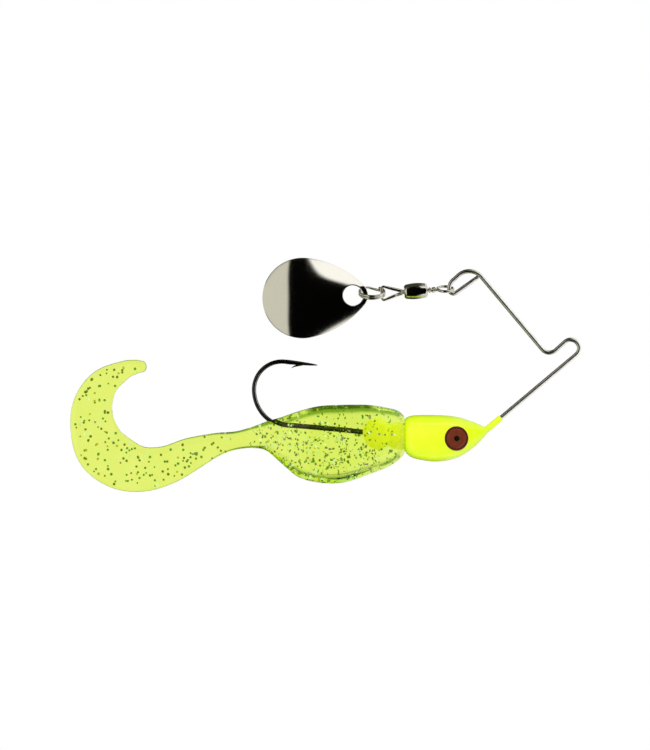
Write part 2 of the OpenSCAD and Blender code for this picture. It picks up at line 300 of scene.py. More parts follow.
def colour_mix(tree, factor, first, second):
    """One colour where the factor is 0 and another where it is 1."""
    mix = tree.nodes.new("ShaderNodeMix")
    mix.data_type = "RGBA"
    tree.links.new(factor, mix.inputs["Factor"])
    for socket, value in ((COLOUR_A, first), (COLOUR_B, second)):
        plug(tree, mix.inputs[socket], (*value, 1) if isinstance(value, tuple) else value)
    return mix.outputs[COLOUR_OUT]


class Shader:
    """A material whose nodes are added by short calls."""

    def __init__(self, name, **sockets):
        self.material = bpy.data.materials.new(name)
        self.material.use_nodes = True
        self.tree = self.material.node_tree
        self.surface = self.tree.nodes["Principled BSDF"]
        for key, value in sockets.items():
            self.surface.inputs[key.replace("_", " ")].default_value = value

    def node(self, kind, inputs=None, **settings):
        made = self.tree.nodes.new(kind)
        for key, value in settings.items():
            setattr(made, key, value)
        for key, value in (inputs or {}).items():
            plug(self.tree, made.inputs[key], value)
        return made

    def place(self, scale=(1, 1, 1), uv=False):
        """Object coordinates in millimetres, or a skin's own UVs, stretched by scale."""
        source = self.node("ShaderNodeTexCoord").outputs["UV" if uv else "Object"]
        size = scale if uv else tuple(s / MM for s in scale)
        return self.node("ShaderNodeMapping", {"Vector": source, "Scale": size}).outputs["Vector"]

    def noise(self, place, scale, detail=3.0, roughness=0.5):
        return self.node("ShaderNodeTexNoise", {"Vector": place, "Scale": scale, "Detail": detail,
                                                "Roughness": roughness}).outputs["Fac"]

    def ranged(self, noise, low, high):
        """Noise, most of which lies between 0.3 and 0.7, spread over a range."""
        return self.node("ShaderNodeMapRange", {"Value": noise, "From Min": 0.3, "From Max": 0.7,
                                                "To Min": low, "To Max": high}).outputs["Result"]

    def mixed(self, factor, first, second):
        return colour_mix(self.tree, factor, first, second)

    def bump(self, height, strength, distance):
        """Bumps of a distance in millimetres."""
        inputs = {"Height": height, "Strength": strength, "Distance": distance * MM}
        self.drive("Normal", self.node("ShaderNodeBump", inputs).outputs["Normal"])

    def drive(self, socket, value):
        self.tree.links.new(value, self.surface.inputs[socket])

    def on(self, piece, slot=None):
        piece.data.materials.clear()
        piece.data.materials.append(self.material)
        return piece


def steel_wire():
    s = Shader("steel_wire", Metallic=1.0)
    streaks = s.noise(s.place((0.25, 26, 1), uv=True), 1.0, 4)
    stains = s.noise(s.place(), 0.9, 3)
    s.drive("Base Color", s.mixed(s.ranged(stains, 0, 1), (0.80, 0.79, 0.76), (0.62, 0.61, 0.58)))
    s.drive("Roughness", s.ranged(streaks, 0.24, 0.36))
    s.bump(streaks, 0.2, 0.015)
    return s


def black_nickel():
    s = Shader("black_nickel", Metallic=1.0)
    cloud = s.noise(s.place(), 1.6, 4)
    s.drive("Base Color", s.mixed(s.ranged(cloud, 0, 1), (0.045, 0.044, 0.045), (0.085, 0.082, 0.082)))
    s.drive("Roughness", s.ranged(s.noise(s.place(), 6, 3), 0.16, 0.28))
    return s


def nickel_plate():
    s = Shader("nickel_plate", Metallic=1.0)
    cloud = s.noise(s.place(), 1.2, 4)
    s.drive("Base Color", s.mixed(s.ranged(cloud, 0, 1), (0.80, 0.78, 0.71), (0.66, 0.64, 0.57)))
    s.drive("Roughness", s.ranged(s.noise(s.place(), 9, 4), 0.06, 0.16))
    s.bump(s.noise(s.place(), 5, 3), 0.15, 0.02)
    return s


def blade_plate():
    s = Shader("blade_plate", Metallic=1.0)
    grain = s.noise(s.place(), 6, 6, 0.75)
    s.drive("Base Color", s.mixed(s.ranged(grain, 0, 1), (0.87, 0.85, 0.80), (0.79, 0.77, 0.71)))
    s.drive("Roughness", s.ranged(grain, 0.05, 0.13))
    s.bump(grain, 0.3, 0.006)
    return s


def head_paint():
    # The paint is fluorescent. Its emission is a painted glow that stands in for that extra brightness.
    s = Shader("head_paint", IOR=1.5, Coat_Weight=0.7, Coat_Roughness=0.12, Emission_Strength=0.10,
               Emission_Color=(0.65, 1.0, 0.0, 1))
    pooled = s.noise(s.place(), 0.35, 3)
    s.drive("Base Color", s.mixed(s.ranged(pooled, 0, 1), (0.64, 0.87, 0.003), (0.70, 0.90, 0.006)))
    s.drive("Roughness", s.ranged(s.noise(s.place(), 3.5, 3), 0.30, 0.42))
    s.bump(s.noise(s.place(), 0.8, 1), 0.15, 0.03)
    return s


def keeper_paint_and_glow():
    """The same paint, with a strong painted glow that makes it bright under the clear plastic."""
    s = Shader("keeper_paint_and_glow", IOR=1.5, Emission_Strength=0.42, Emission_Color=(0.95, 1.0, 0.06, 1))
    pooled = s.noise(s.place(), 0.6, 3)
    s.drive("Base Color", s.mixed(s.ranged(pooled, 0, 1), (0.80, 0.84, 0.05), (0.90, 0.90, 0.10)))
    s.drive("Roughness", s.ranged(s.noise(s.place(), 3.5, 3), 0.4, 0.55))
    return s


def plastisol():
    s = Shader("plastisol", IOR=1.42, Transmission_Weight=1.0)
    cloud = s.noise(s.place(), 0.22, 3)
    s.drive("Base Color", s.mixed(s.ranged(cloud, 0, 1), (0.78, 0.90, 0.16), (0.84, 0.94, 0.21)))
    s.drive("Roughness", s.ranged(s.noise(s.place(), 1.5, 3), 0.02, 0.07))
    s.bump(s.noise(s.place(), 0.9, 2), 0.15, 0.05)
    depth = s.node("ShaderNodeVolumeAbsorption", {"Color": (0.80, 0.95, 0.23, 1), "Density": 60.0})
    s.tree.links.new(depth.outputs["Volume"], s.tree.nodes["Material Output"].inputs["Volume"])
    return s


def flake(name, colour, glow):
    # The emission is a painted glow that brightens each flake inside the plastic.
    s = Shader(name, Metallic=0.5, Emission_Color=(*colour, 1), Emission_Strength=glow)
    tint = s.noise(s.place(), 1.5, 2)
    s.drive("Base Color", s.mixed(s.ranged(tint, 0, 1), colour, tuple(0.6 * c for c in colour)))
    s.drive("Roughness", s.ranged(s.noise(s.place(), 8, 2), 0.25, 0.45))
    return s


def eye_gloss(name, inner, outer, coat):
    s = Shader(name, IOR=1.5, Coat_Weight=coat, Coat_Roughness=0.05)
    cloud = s.noise(s.place(), 1.6, 4)
    s.drive("Base Color", s.mixed(s.ranged(cloud, 0, 1), inner, outer))
    s.drive("Roughness", s.ranged(s.noise(s.place(), 5, 3), 0.35, 0.5))
    return s


STEEL, BLACK = steel_wire(), black_nickel()
NICKEL, BLADE = nickel_plate(), blade_plate()
PAINT, KEEPER, PLASTISOL = head_paint(), keeper_paint_and_glow(), plastisol()
IRIS = eye_gloss("eye_iris", (0.160, 0.024, 0.002), (0.120, 0.016, 0.002), 0.1)
RIM = eye_gloss("eye_rim", (0.105, 0.005, 0.003), (0.060, 0.003, 0.002), 0.3)
PUPIL = eye_gloss("eye_pupil", (0.001, 0.001, 0.001), (0.003, 0.002, 0.002), 0.0)

# ------------------------------------------------------------------ wire arm

PITCH = math.radians(40)
TIE_RADIUS = 1.35
WIRE_R = 0.345
ARM = Vector((math.cos(PITCH), 0, math.sin(PITCH)))
ARM_SIDE = Vector((-math.sin(PITCH), 0, math.cos(PITCH)))
TIE_END = TIE_RADIUS * Vector((math.sin(PITCH), 0, -math.cos(PITCH)))
# Bends as bend_path takes them: from the line tie down into the head, and up and back to the closing loop
WIRE_DOWN = [(19.2, 1, -40, 0), (1.92, 0.8, 90, 0), (1.7, 0, 0, 0)]
WIRE_UP = [(0, TIE_RADIUS, 182, 0), (1.98, 1.52, -92, 0), (15.1, 2.56, 92, 0), (1.15, 1.92, 48, 0),
           (0, 0.72, 125, -10), (4.35, 0, 0, 0)]
DOWN_PATH = bend_path(TIE_END, -ARM, -ARM_SIDE, WIRE_DOWN)


def make_wire():
    up = bend_path(TIE_END, ARM, ARM_SIDE, WIRE_UP)
    wire = STEEL.on(tube("wire", DOWN_PATH[:0:-1] + up, WIRE_R, sides=24), "steel_wire")
    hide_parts("wire_arm")
    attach(wire, "root")
    return wire


# ------------------------------------------------------------------ hook

HOOK_R = 0.35
HOOK_NECK_R = 0.27
EYE_ABOVE_FOOT = 1.23
HOOK_EYE = DOWN_PATH[-1] + Z * EYE_ABOVE_FOOT
HOOK_EYE_R = 1.1
SHANK_PITCH = math.radians(4.5)
SHANK = Vector((-math.cos(SHANK_PITCH), 0, math.sin(SHANK_PITCH)))
SHANK_DOWN = Vector((-math.sin(SHANK_PITCH), 0, -math.cos(SHANK_PITCH)))
HOOK_BENDS = [(27.95, 6.08, 85.5, 180), (0, 4.48, 97.5, 180)]
POINT_LENGTH = 5.16
POINT_TAPER = 4.4
POINT_TIP_R = 0.015
# [distance along the point, lift away from it, radius] from the barb's root to its tip
BARB = ((2.75, 0.1, 0.2), (2.3, 0.24, 0.2), (1.9, 0.38, 0.17),
        (1.5, 0.56, 0.12), (1.2, 0.76, 0.07), (1.0, 0.92, 0.02))


def make_hook():
    """Shank, bend, point and barb. The shank starts on the ring of the eye, not in its middle."""
    path = [HOOK_EYE + SHANK * HOOK_EYE_R] + bend_path(HOOK_EYE, SHANK, SHANK_DOWN, HOOK_BENDS)[2:]
    heading = (path[-1] - path[-2]).normalized()
    radii = [HOOK_NECK_R] + [HOOK_R] * (len(path) - 1)
    bend_end = path[-1]
    steps = 28
    for i in range(1, steps + 1):
        along = POINT_LENGTH * i / steps
        path.append(bend_end + heading * along)
        taper = max(0.0, min(1.0, (POINT_LENGTH - along) / POINT_TAPER))
        radii.append(HOOK_R * math.sqrt(taper) + POINT_TIP_R)
    inward = heading.cross(Y)
    inward = inward if inward.z < 0 else -inward
    barb = tube("barb", [bend_end + heading * along + inward * lift for along, lift, _ in BARB],
                [radius for _, _, radius in BARB], sides=16, flatten=0.6)
    ring = [HOOK_EYE + HOOK_EYE_R * (SHANK * math.cos(a) + Y * math.sin(a))
            for a in (2 * math.pi * k / 48 for k in range(48))]
    hook = joined("fish_hook", [tube("fish_hook", path, radii, sides=24), barb,
                                tube("hook_eye", ring, HOOK_R, sides=20, loop=True)])
    BLACK.on(hook, "black_nickel")
    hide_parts("hook")
    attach(hook, "root")
    return hook


# ------------------------------------------------------------------ head and eyes

# [x, top, bottom, half thickness]
HEAD_SHAPE = [[-26.6, -11.45, -16.35, 2.23], [-26.2, -11.05, -16.95, 2.57], [-25, -10.75, -17.65, 2.91],
              [-21.3, -10.7, -18.15, 3.1], [-18, -11, -17.5, 2.76], [-15.5, -11.8, -15.9, 1.92],
              [-14, -12.45, -14.4, 1.12], [-13.3, -12.65, -13.55, 0.68]]
HEAD_SQUARENESS = 2.6
COLLAR_R = 0.52
COLLAR_RINGS = (20.0, 18.0, 16.2, 15.8)         # distances from the line tie, inside the nose first
KEEPER_ENDS = (9.1, 16.2)
KEEPER_CORE_R, KEEPER_CORE_END = 1.25, 13.0
KEEPER_BORE_R = 0.4
# [distance from the hook's eye, radius, half length]
KEEPER_LOBES = ((10.9, 1.75, 1.9), (14.0, 2.15, 2.2))
EYE_X, EYE_Z, EYE_FLOOR, EYE_TOE_IN = -18.45, -14.4, 2.38, 10.5
EYE_R, EYE_RIM_R, PUPIL_R = 1.6, 1.9, 0.52


def make_head():
    stations, sides = 72, 96
    first, span = HEAD_SHAPE[0][0], HEAD_SHAPE[-1][0] - HEAD_SHAPE[0][0]
    rings = []
    for k in range(stations + 1):
        x = first + span * (1 - math.cos(math.pi * k / stations)) / 2
        top, bottom, half = (smooth(HEAD_SHAPE, x, column) for column in (1, 2, 3))
        rings.append([Vector((x, half * c, (top + bottom) / 2 + (top - bottom) / 2 * s))
                      for c, s in (oval(2 * math.pi * i / sides, HEAD_SQUARENESS) for i in range(sides))])
    collar = [TIE_END - ARM * along for along in COLLAR_RINGS]
    parts = [skin("head", rings), tube("collar", collar, COLLAR_R, sides=32)]
    head = melted(joined("head", parts), voxel=0.07, passes=8)
    PAINT.on(head, "head_paint")
    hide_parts("lead_head")
    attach(head, "root")
    return head


def make_keeper():
    """The two rounded lobes of lead that hold the grub from inside."""
    start, end = KEEPER_ENDS
    bare = KEEPER_BORE_R + 0.05     # past the core there is only a thin wall round the shank
    merging = 6                     # a higher power leaves a sharper groove where two shapes meet
    steps = 60
    profile = [(KEEPER_BORE_R, start)]
    for k in range(steps + 1):
        along = start + (end - start) * k / steps
        radii = [KEEPER_CORE_R if along < KEEPER_CORE_END else bare]
        for middle, radius, half in KEEPER_LOBES:
            radii.append(radius * math.sqrt(max(0.0, 1 - ((along - middle) / half) ** 2)))
        profile.append((sum(r ** merging for r in radii) ** (1 / merging), along))
    profile.append((KEEPER_BORE_R, end))
    keeper = KEEPER.on(lathe("keeper", profile, HOOK_EYE, SHANK, 48), "head_paint")
    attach(keeper, "root")


def make_eye(node, side):
    """A glossy disc in a raised dark rim, with a pupil."""
    normal = Matrix.Rotation(side * math.radians(90 - EYE_TOE_IN), 3, "Z") @ X
    floor = Vector((EYE_X, side * EYE_FLOOR, EYE_Z))
    # Profiles of (radius, height above the pocket's floor)
    rim = [(1.55, 0.0), (EYE_RIM_R, 0.0)] + quarter(1.78, 0.3, 0.17, 0) + quarter(1.73, 0.3, 0.17, 90)
    disc = [(0.02, 0.0), (EYE_R, 0.0)] + cap(EYE_R, 0.36, 0.3, 12) + [(0.02, 0.66)]
    button = [(0.01, 0.4), (PUPIL_R, 0.4)] + cap(PUPIL_R, 0.6, 0.1, 6) + [(0.01, 0.7)]
    iris = lathe(node + "_iris", disc, floor, normal)
    parts = ((RIM, lathe(node + "_rim", rim, floor, normal)), (IRIS, iris),
             (PUPIL, lathe(node + "_pupil", button, floor, normal, 32)))
    for shader, part in parts:
        shader.on(part, "eye")
        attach(part, "root")
    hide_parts(node)


# ------------------------------------------------------------------ grub

# [x, top, bottom, half thickness] from the back of the body to its front
BODY_SHAPE = [[-48.7, -11.75, -16.4, 1.94], [-46.2, -11, -18.5, 2.73], [-43.6, -10.1, -20.6, 3.65],
              [-40.4, -9.3, -21.5, 4.27], [-37.2, -9.1, -21.6, 4.4], [-34.7, -9.05, -21.1, 4.31],
              [-32.1, -9.1, -20.15, 4.09], [-29.5, -9.5, -19.15, 3.74], [-27.6, -10, -18, 3.3],
              [-26.66, -10.8, -17, 2.73]]
# [x, z, half height, half thickness] from the neck to the tip
TAIL_SHAPE = [[-50.6, -14.25, 1.75, 1.49], [-53.4, -14.75, 1.45, 1.27], [-56.6, -15.4, 1.85, 0.83],
              [-60.6, -16.9, 2.65, 0.63], [-64.6, -18.7, 3.1, 0.58], [-68.4, -19.35, 3.6, 0.55],
              [-71.9, -18.5, 4.15, 0.55], [-75, -16.15, 4.2, 0.52], [-76.5, -12.2, 3.6, 0.5],
              [-76.35, -8.7, 3.1, 0.47], [-74.65, -5.6, 2.4, 0.44], [-71.4, -3.5, 1.5, 0.41],
              [-69.5, -2.98, 1.12, 0.38], [-68.6, -2.95, 0.92, 0.33]]
GRUB_SIDES = 72
GRUB_SQUARENESS = 2.1
CREASE_HEIGHT, CREASE_WIDTH, CREASE_DEPTH = 1.15, 0.35, 0.12
CREASE_MIDDLE, CREASE_REACH = 8.5, 9            # along the grub


def grub_table():
    """One shape table for the whole moulding.

    A row is [distance along it, x, z, half height, half thickness, 0 in the body and 1 in the tail].
    """
    turning_rows = 3        # over which the sections go from upright to square with the tail
    rows = []
    for x, top, bottom, half in reversed(BODY_SHAPE):
        rows.append([x, (top + bottom) / 2, (top - bottom) / 2, half, 0.0])
    for i, (x, z, height, half) in enumerate(TAIL_SHAPE):
        rows.append([x, z, height, half, min(1.0, (i + 1) / turning_rows)])
    distance = 0.0
    table = [[0.0] + rows[0]]
    for before, after in zip(rows, rows[1:]):
        distance += math.hypot(after[0] - before[0], after[1] - before[1])
        table.append([distance] + after)
    return table


def grub_ring(middle, up, height, half, crease):
    """A section of the grub, with a mould crease along each side of the belly."""
    dip = 0.3           # how much less the crease takes off the height than off the width
    ring = []
    for i in range(GRUB_SIDES):
        c, s = oval(2 * math.pi * i / GRUB_SIDES, GRUB_SQUARENESS)
        above_belly = height * (1 + s)
        dent = crease * math.exp(-((above_belly - CREASE_HEIGHT) / CREASE_WIDTH) ** 2)
        ring.append(middle + up * height * s * (1 - dip * dent) + Y * half * c * (1 - dent))
    return ring


def make_grub():
    table = grub_table()
    length = table[-1][0]
    front_bulge, tip_reach = 0.06, 0.75
    near = 0.05
    steps = 190

    def middle_at(d):
        d = min(max(d, 0), length)
        return Vector((smooth(table, d, 1), 0, smooth(table, d, 2)))

    rings = []
    for k in range(steps + 1):
        d = length * k / steps
        forward = (middle_at(d - near) - middle_at(d + near)).normalized()
        upright = Vector((-forward.z, 0, forward.x))
        up = Z.lerp(upright, min(1.0, max(0.0, smooth(table, d, 5)))).normalized()
        crease = CREASE_DEPTH * max(0.0, 1 - abs(d - CREASE_MIDDLE) / CREASE_REACH)
        rings.append(grub_ring(middle_at(d), up, smooth(table, d, 3), smooth(table, d, 4), crease))
    front = rounded_end(rings[0], X * front_bulge, FLAT_END)
    tip = rounded_end(rings[-1], -forward * tip_reach, ROUND_END)
    return PLASTISOL.on(skin("grub", front[::-1] + rings + tip), "grub_body")


def tree_of(piece):
    """A piece's mesh, ready for rays to be cast at it."""
    return BVHTree.FromPolygons([v.co for v in piece.data.vertices],
                                [p.vertices[:] for p in piece.data.polygons])


def hexagon(middle, normal, radius, thickness, turn):
    """One flake: a thin hexagonal plate."""
    side = normal.orthogonal().normalized()
    across = normal.cross(side)
    ring = [side * math.cos(a) + across * math.sin(a) for a in (turn + math.pi / 3 * k for k in range(6))]
    low = [middle + p * radius - normal * thickness / 2 for p in ring]
    high = [middle + p * radius + normal * thickness / 2 for p in ring]
    return low + high


HEX_FACES = [(5, 4, 3, 2, 1, 0), (6, 7, 8, 9, 10, 11)]
HEX_FACES += [(k, (k + 1) % 6, 6 + (k + 1) % 6, 6 + k) for k in range(6)]


def make_flakes(grub, name, shader, seed, body_count, tail_count, sizes, shallow):
    """Flakes of one colour, scattered through the plastic or, if shallow, just under its skin."""
    chance = random.Random(seed)
    tree = tree_of(grub)
    body_low, body_high = node_box("grub_body")
    tail_low, tail_high = node_box("grub_tail")
    into_neck = X * 2
    # [count, low corner, high corner, least thickness there, growth in size, how they gather in height]
    regions = ((body_count, body_low - into_neck, body_high, 2.6, 1.15, (1.5, 1.9)),
               (tail_count, tail_low, tail_high, 0.62, 1.3, (1, 1)))
    outside = 20            # clear of the grub, where the rays start
    margin = 0.2            # least plastic over a flake
    rim_slope = 0.6         # where the skin turns away more than this, it would magnify a flake
    thin = 1.6              # where there is so little room, flakes lie flat
    flake_t = 0.03
    places, faces = [], []
    for count, low, high, least_thickness, growth, gathered in regions:
        made = 0
        while made < count:
            x = chance.uniform(low.x, high.x)
            z = low.z + (high.z - low.z) * chance.betavariate(*gathered)
            near, facing = tree.ray_cast(Vector((x, -outside, z)) * MM, Y)[:2]
            far = tree.ray_cast(Vector((x, outside, z)) * MM, -Y)[0]
            if near is None or far is None or abs(facing.y) < rim_slope:
                continue
            thickness = (far - near).y / MM
            if thickness < least_thickness:
                continue
            room = thickness - 2 * margin
            depth = chance.uniform(0, room)
            if shallow:
                under_skin = min(depth, room - depth) / 4
                depth = under_skin if chance.random() < 0.5 else room - under_skin
            normal = Vector((chance.gauss(0, 1), chance.gauss(0, 1), chance.gauss(0, 1))).normalized()
            if shallow or room < thin:
                normal = (normal + Y * 2).normalized()
            first = len(places)
            middle = Vector((x, near.y / MM + margin + depth, z))
            places += hexagon(middle, normal, growth * chance.uniform(*sizes), flake_t, chance.uniform(0, 1))
            faces += [tuple(first + v for v in face) for face in HEX_FACES]
            made += 1
    piece = shader.on(finished(name, raw_mesh(name, places, faces)), "grub_body")
    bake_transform(piece)


# [name, colour, painted glow, seed, count in the body, count in the tail, sizes, shallow]
FLAKES = (
    ("flakes_dark", (0.115, 0.185, 0.025), 0.9, 11, 290, 84, (0.12, 0.20), False),
    ("flakes_green", (0.10, 0.32, 0.05), 0.75, 12, 190, 56, (0.12, 0.20), False),
    ("flakes_gold", (0.52, 0.46, 0.07), 0.6, 13, 64, 24, (0.12, 0.19), False),
    ("flakes_silver", (0.72, 0.86, 0.95), 0.7, 14, 64, 14, (0.14, 0.22), True),
    ("flakes_violet", (0.36, 0.30, 0.52), 0.5, 15, 46, 8, (0.13, 0.20), True),
)

# ------------------------------------------------------------------ swivel

SWIVEL = joint_place("barrel_spin")
AXIS = joint_axis("barrel_spin")
AXIS_DOWN = Vector((AXIS.z, 0, -AXIS.x))
BARREL_HALF = 1.9
BARREL_R = node_box("swivel_barrel")[1].y
STRAND_R = 0.22
STRAND_OFFSET = 0.24
BAR_R = 0.2
TWIST_START, CORE_END = 2.15, 2.35              # distances from the swivel's middle


def on_axis(along):
    return SWIVEL + AXIS * along


def make_barrel():
    """A drawn barrel, a little fuller in the middle, rolled over at both ends."""
    edge, mouth, lip, bulge = 0.5, 0.36, 0.06, 0.13
    straight = BARREL_HALF - edge
    inside = [(mouth, 1.5), (0.85, 1.42)]
    half = [(BARREL_R - bulge * (h / straight) ** 2, h) for h in (0.2 * k for k in range(7))]
    half += quarter(BARREL_R - bulge - edge, straight, edge, 0, 8)
    half += quarter(mouth + lip, BARREL_HALF - lip, lip, 90, 3) + inside
    profile = [(r, -h) for r, h in reversed(half[1:])] + half
    barrel = NICKEL.on(lathe("barrel", profile, SWIVEL, AXIS), "nickel")
    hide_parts("swivel_barrel")
    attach(barrel, "barrel")


def twist(start, end, first_side, second_side, turns, phase, steps=30):
    """One strand of a twisted stem, between two distances along the swivel's axis."""
    path = []
    for i in range(steps + 1):
        share = i / steps
        a = phase + 2 * math.pi * turns * (share - 1)
        path.append(on_axis(start + (end - start) * share)
                    + STRAND_OFFSET * (first_side * math.cos(a) + second_side * math.sin(a)))
    return path


def stem_core(name, end):
    """The plain shank through the barrel's mouth, and its head inside. end is 1 in front and -1 behind."""
    profile = [(0.02, 1.0), (0.6, 1.0), (0.72, 1.1), (0.72, 1.26), (0.62, 1.34), (0.3, 1.37),
               (0.3, CORE_END), (0.02, CORE_END)]
    return lathe(name, profile, SWIVEL, AXIS * end, sides=40)


def make_front_eye():
    """A round loop on a stem of two twisted strands."""
    side = joint_axis("swivel_swing").cross(X).normalized()
    up = AXIS.cross(side)
    loop_r, twist_end, turns = 1.25, 3.35, 0.75
    front = node_box("swivel_front_eye")[1].x
    centre = Vector((front - loop_r - STRAND_R, 0, joint_place("swivel_swing").z))
    stem_in, stem_out = (twist(TWIST_START, twist_end, side, up, turns, phase) for phase in (0.0, math.pi))
    half_turn = math.pi - math.asin(STRAND_OFFSET / loop_r)
    angles = [half_turn - 2 * half_turn * k / 60 for k in range(61)]
    ring = [centre + loop_r * (X * math.cos(a) + side * math.sin(a)) for a in angles]
    strand = tube("front_eye_wire", stem_in + ring + stem_out[::-1], STRAND_R, sides=16)
    eye = joined("front_eye_wire", [strand, stem_core("front_core", 1)])
    NICKEL.on(eye, "nickel")
    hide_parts("swivel_front_eye")
    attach(eye, "front_eye")


def make_rear_eye():
    """A loop bent into a triangle, with a cross bar for the split ring."""
    neck, bar = 2.4, 5.5                        # distances behind the swivel's middle
    gap, half, corner = 0.22, 1.2, 0.4          # half widths at the neck and the bar, and the bends' radius
    lean = math.atan((half - gap) / (bar - neck))
    cut = corner * math.tan((math.pi / 2 + lean) / 2)
    leg = math.hypot(bar - neck, half - gap) - cut
    reach = half - cut
    heading = AXIS_DOWN * math.sin(lean) - AXIS * math.cos(lean)
    side = -(AXIS_DOWN * math.cos(lean) + AXIS * math.sin(lean))
    turn = 90 + math.degrees(lean)
    loop = bend_path(on_axis(-neck) + AXIS_DOWN * gap, heading, side,
                     [(leg, corner, turn, 0), (2 * reach, corner, turn, 0), (leg, 0, 0, 0)], step=6)
    stem_in, stem_out = (twist(-TWIST_START, -CORE_END, AXIS_DOWN, Y, 0.2, phase, 4)
                         for phase in (0.0, math.pi))
    path = stem_in + loop + stem_out[::-1]
    fuller, full_end, taper = 0.07, bar - 0.9, 0.6
    radii = []
    for place in path:
        behind = (SWIVEL - place).dot(AXIS)
        radii.append(BAR_R + fuller * max(0.0, min(1.0, (full_end - behind) / taper)))
    eye = joined("rear_eye_wire", [tube("rear_eye_wire", path, radii, sides=16), stem_core("rear_core", -1)])
    NICKEL.on(eye, "nickel")
    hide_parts("swivel_rear_eye")
    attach(eye, "rear_eye")


# ------------------------------------------------------------------ split ring

def make_split_ring():
    """A coil of nearly two turns that steps from one layer to the other on its far side."""
    radius, wire_r = 2.0, 0.2
    low, high = node_box("split_ring")
    centre = (low + high) / 2
    tangent = joint_axis("blade_pivot")
    up = X.cross(tangent)
    sweep, points = math.radians(650), 260
    far_side = math.radians(360 + 90)
    start = far_side - sweep / 2
    step_start, step_length = 0.46, 0.08        # shares of the sweep
    path = []
    for k in range(points + 1):
        share = k / points
        step_up = min(1.0, max(0.0, (share - step_start) / step_length))
        lift = wire_r * (2 * step_up * step_up * (3 - 2 * step_up) - 1)
        a = start + sweep * share
        path.append(centre + radius * (X * math.cos(a) + tangent * math.sin(a)) + up * lift)
    ring = NICKEL.on(tube("coiled_ring", path, wire_r, sides=16), "nickel")
    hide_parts("split_ring")
    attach(ring, "ring")


# ------------------------------------------------------------------ blade

# The outline: two arcs whose centres are REACH apart, and two flatter flanks between them
ROUND_R, TIP_R, REACH, FLANK_R = 6.45, 2.4, 8.08, 15.0
DOME, SHEET, HOLE_R = 2.0, 0.5, 1.6
BLADE_PITCH = math.radians(2.8)


def circles():
    """The four arcs of the blade's outline: [centre, radius, start, end]."""
    a, b = FLANK_R - ROUND_R, FLANK_R - TIP_R
    at_round = math.pi - math.acos((a * a + REACH * REACH - b * b) / (2 * a * REACH))
    flank = Vector((-math.cos(at_round), -math.sin(at_round))) * a
    at_tip = math.atan2(-flank.y, REACH - flank.x)
    mirror = Vector((flank.x, -flank.y))
    return ((Vector((0, 0)), ROUND_R, at_round, 2 * math.pi - at_round),
            (mirror, FLANK_R, -at_round, -at_tip),
            (Vector((REACH, 0)), TIP_R, -at_tip, at_tip),
            (flank, FLANK_R, at_tip, at_round))


def reach_from(place, direction):
    """How far the outline lies from a place inside it, which is as far as the nearest arc that it crosses."""
    found = []
    slack = 1e-6
    for centre, radius, start, end in circles():
        to = place - centre
        b, c = to.dot(direction), to.dot(to) - radius * radius
        if b * b < c:
            continue
        far = -b + math.sqrt(b * b - c)
        hit = to + direction * far
        past_start = (math.atan2(hit.y, hit.x) - start + slack) % (2 * math.pi)
        if past_start <= end - start + 2 * slack:
            found.append(far)
    return min(found)


def make_blade():
    """A stamped sheet, as rings of places from its hole to its rim in front and back again behind."""
    low, high = node_box("blade")
    centre = Vector((low.x + ROUND_R, high.y - SHEET, (low.z + high.z) / 2))
    long_way = Vector((math.cos(BLADE_PITCH), 0, math.sin(BLADE_PITCH)))
    wide_way = Vector((-math.sin(BLADE_PITCH), 0, math.cos(BLADE_PITCH)))
    hole = Vector((REACH, 0))
    spokes = 256
    bearings = [Vector((math.cos(a), math.sin(a))) for a in (2 * math.pi * k / spokes for k in range(spokes))]
    reaches = [reach_from(hole, bearing) for bearing in bearings]

    def depth(spot):
        share = spot.length / reach_from(Vector((0, 0)), spot.normalized()) if spot.length > 1e-6 else 0
        return -DOME * (1 - share * share)

    def ring(share, lift, from_hole, from_rim):
        """A place on each spoke, a share of the way from hole to rim, with both drawn in by the last two."""
        places = []
        for bearing, reach in zip(bearings, reaches):
            spot = hole + bearing * (HOLE_R + from_hole + (reach - HOLE_R - from_hole - from_rim) * share)
            places.append(centre + long_way * spot.x + wide_way * spot.y + Y * (depth(spot) + lift))
        return places

    def rounded(edge):
        """How far an edge's round-over lies from the sheet's face and from its outline."""
        angles = [math.pi / 12 * k for k in range(1, 6)]
        return [(edge * (1 - math.cos(a)), edge * (1 - math.sin(a))) for a in angles]

    hole_edge, rim_edge = 0.16, 0.09
    at_hole, at_rim = rounded(hole_edge), rounded(rim_edge)
    steps = 48
    levels = [math.sin(math.pi / 2 * k / steps) for k in range(steps + 1)]
    front = [ring(share, 0.0, hole_edge, rim_edge) for share in levels]
    back = [ring(share, SHEET, hole_edge, rim_edge) for share in levels]
    rim = [ring(1.0, h, 0, i) for h, i in at_rim]
    rim += [ring(1.0, SHEET - h, 0, i) for h, i in reversed(at_rim)]
    mouth = [ring(0.0, SHEET - h, i, 0) for h, i in at_hole]
    mouth += [ring(0.0, h, i, 0) for h, i in reversed(at_hole)]
    blade = skin("spinner_blade", front + rim + back[::-1] + mouth, loop=True)
    BLADE.on(blade, "blade_plate")
    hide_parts("blade")
    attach(blade, "blade")


# ------------------------------------------------------------------ stage, camera and light

def make_floor():
    """A plain pale disc below the lure."""
    radius, drop = 0.4, 0.1
    middle = (Vector(cad_box[0]) + Vector(cad_box[1])) / 2
    bpy.ops.mesh.primitive_circle_add(vertices=96, radius=radius, fill_type="NGON",
                                      location=(middle.x, middle.y, cad_box[0][2] - drop))
    floor = bpy.context.active_object
    floor.name = "floor"
    floor.visible_glossy = False
    floor.visible_transmission = False
    s = Shader("floor_paper", Roughness=0.9, Emission_Color=(1, 1, 0.98, 1), Emission_Strength=0.1)
    s.drive("Base Color", s.mixed(s.noise(s.place(), 0.05, 2), (0.86, 0.86, 0.85), (0.9, 0.9, 0.89)))
    s.on(floor)


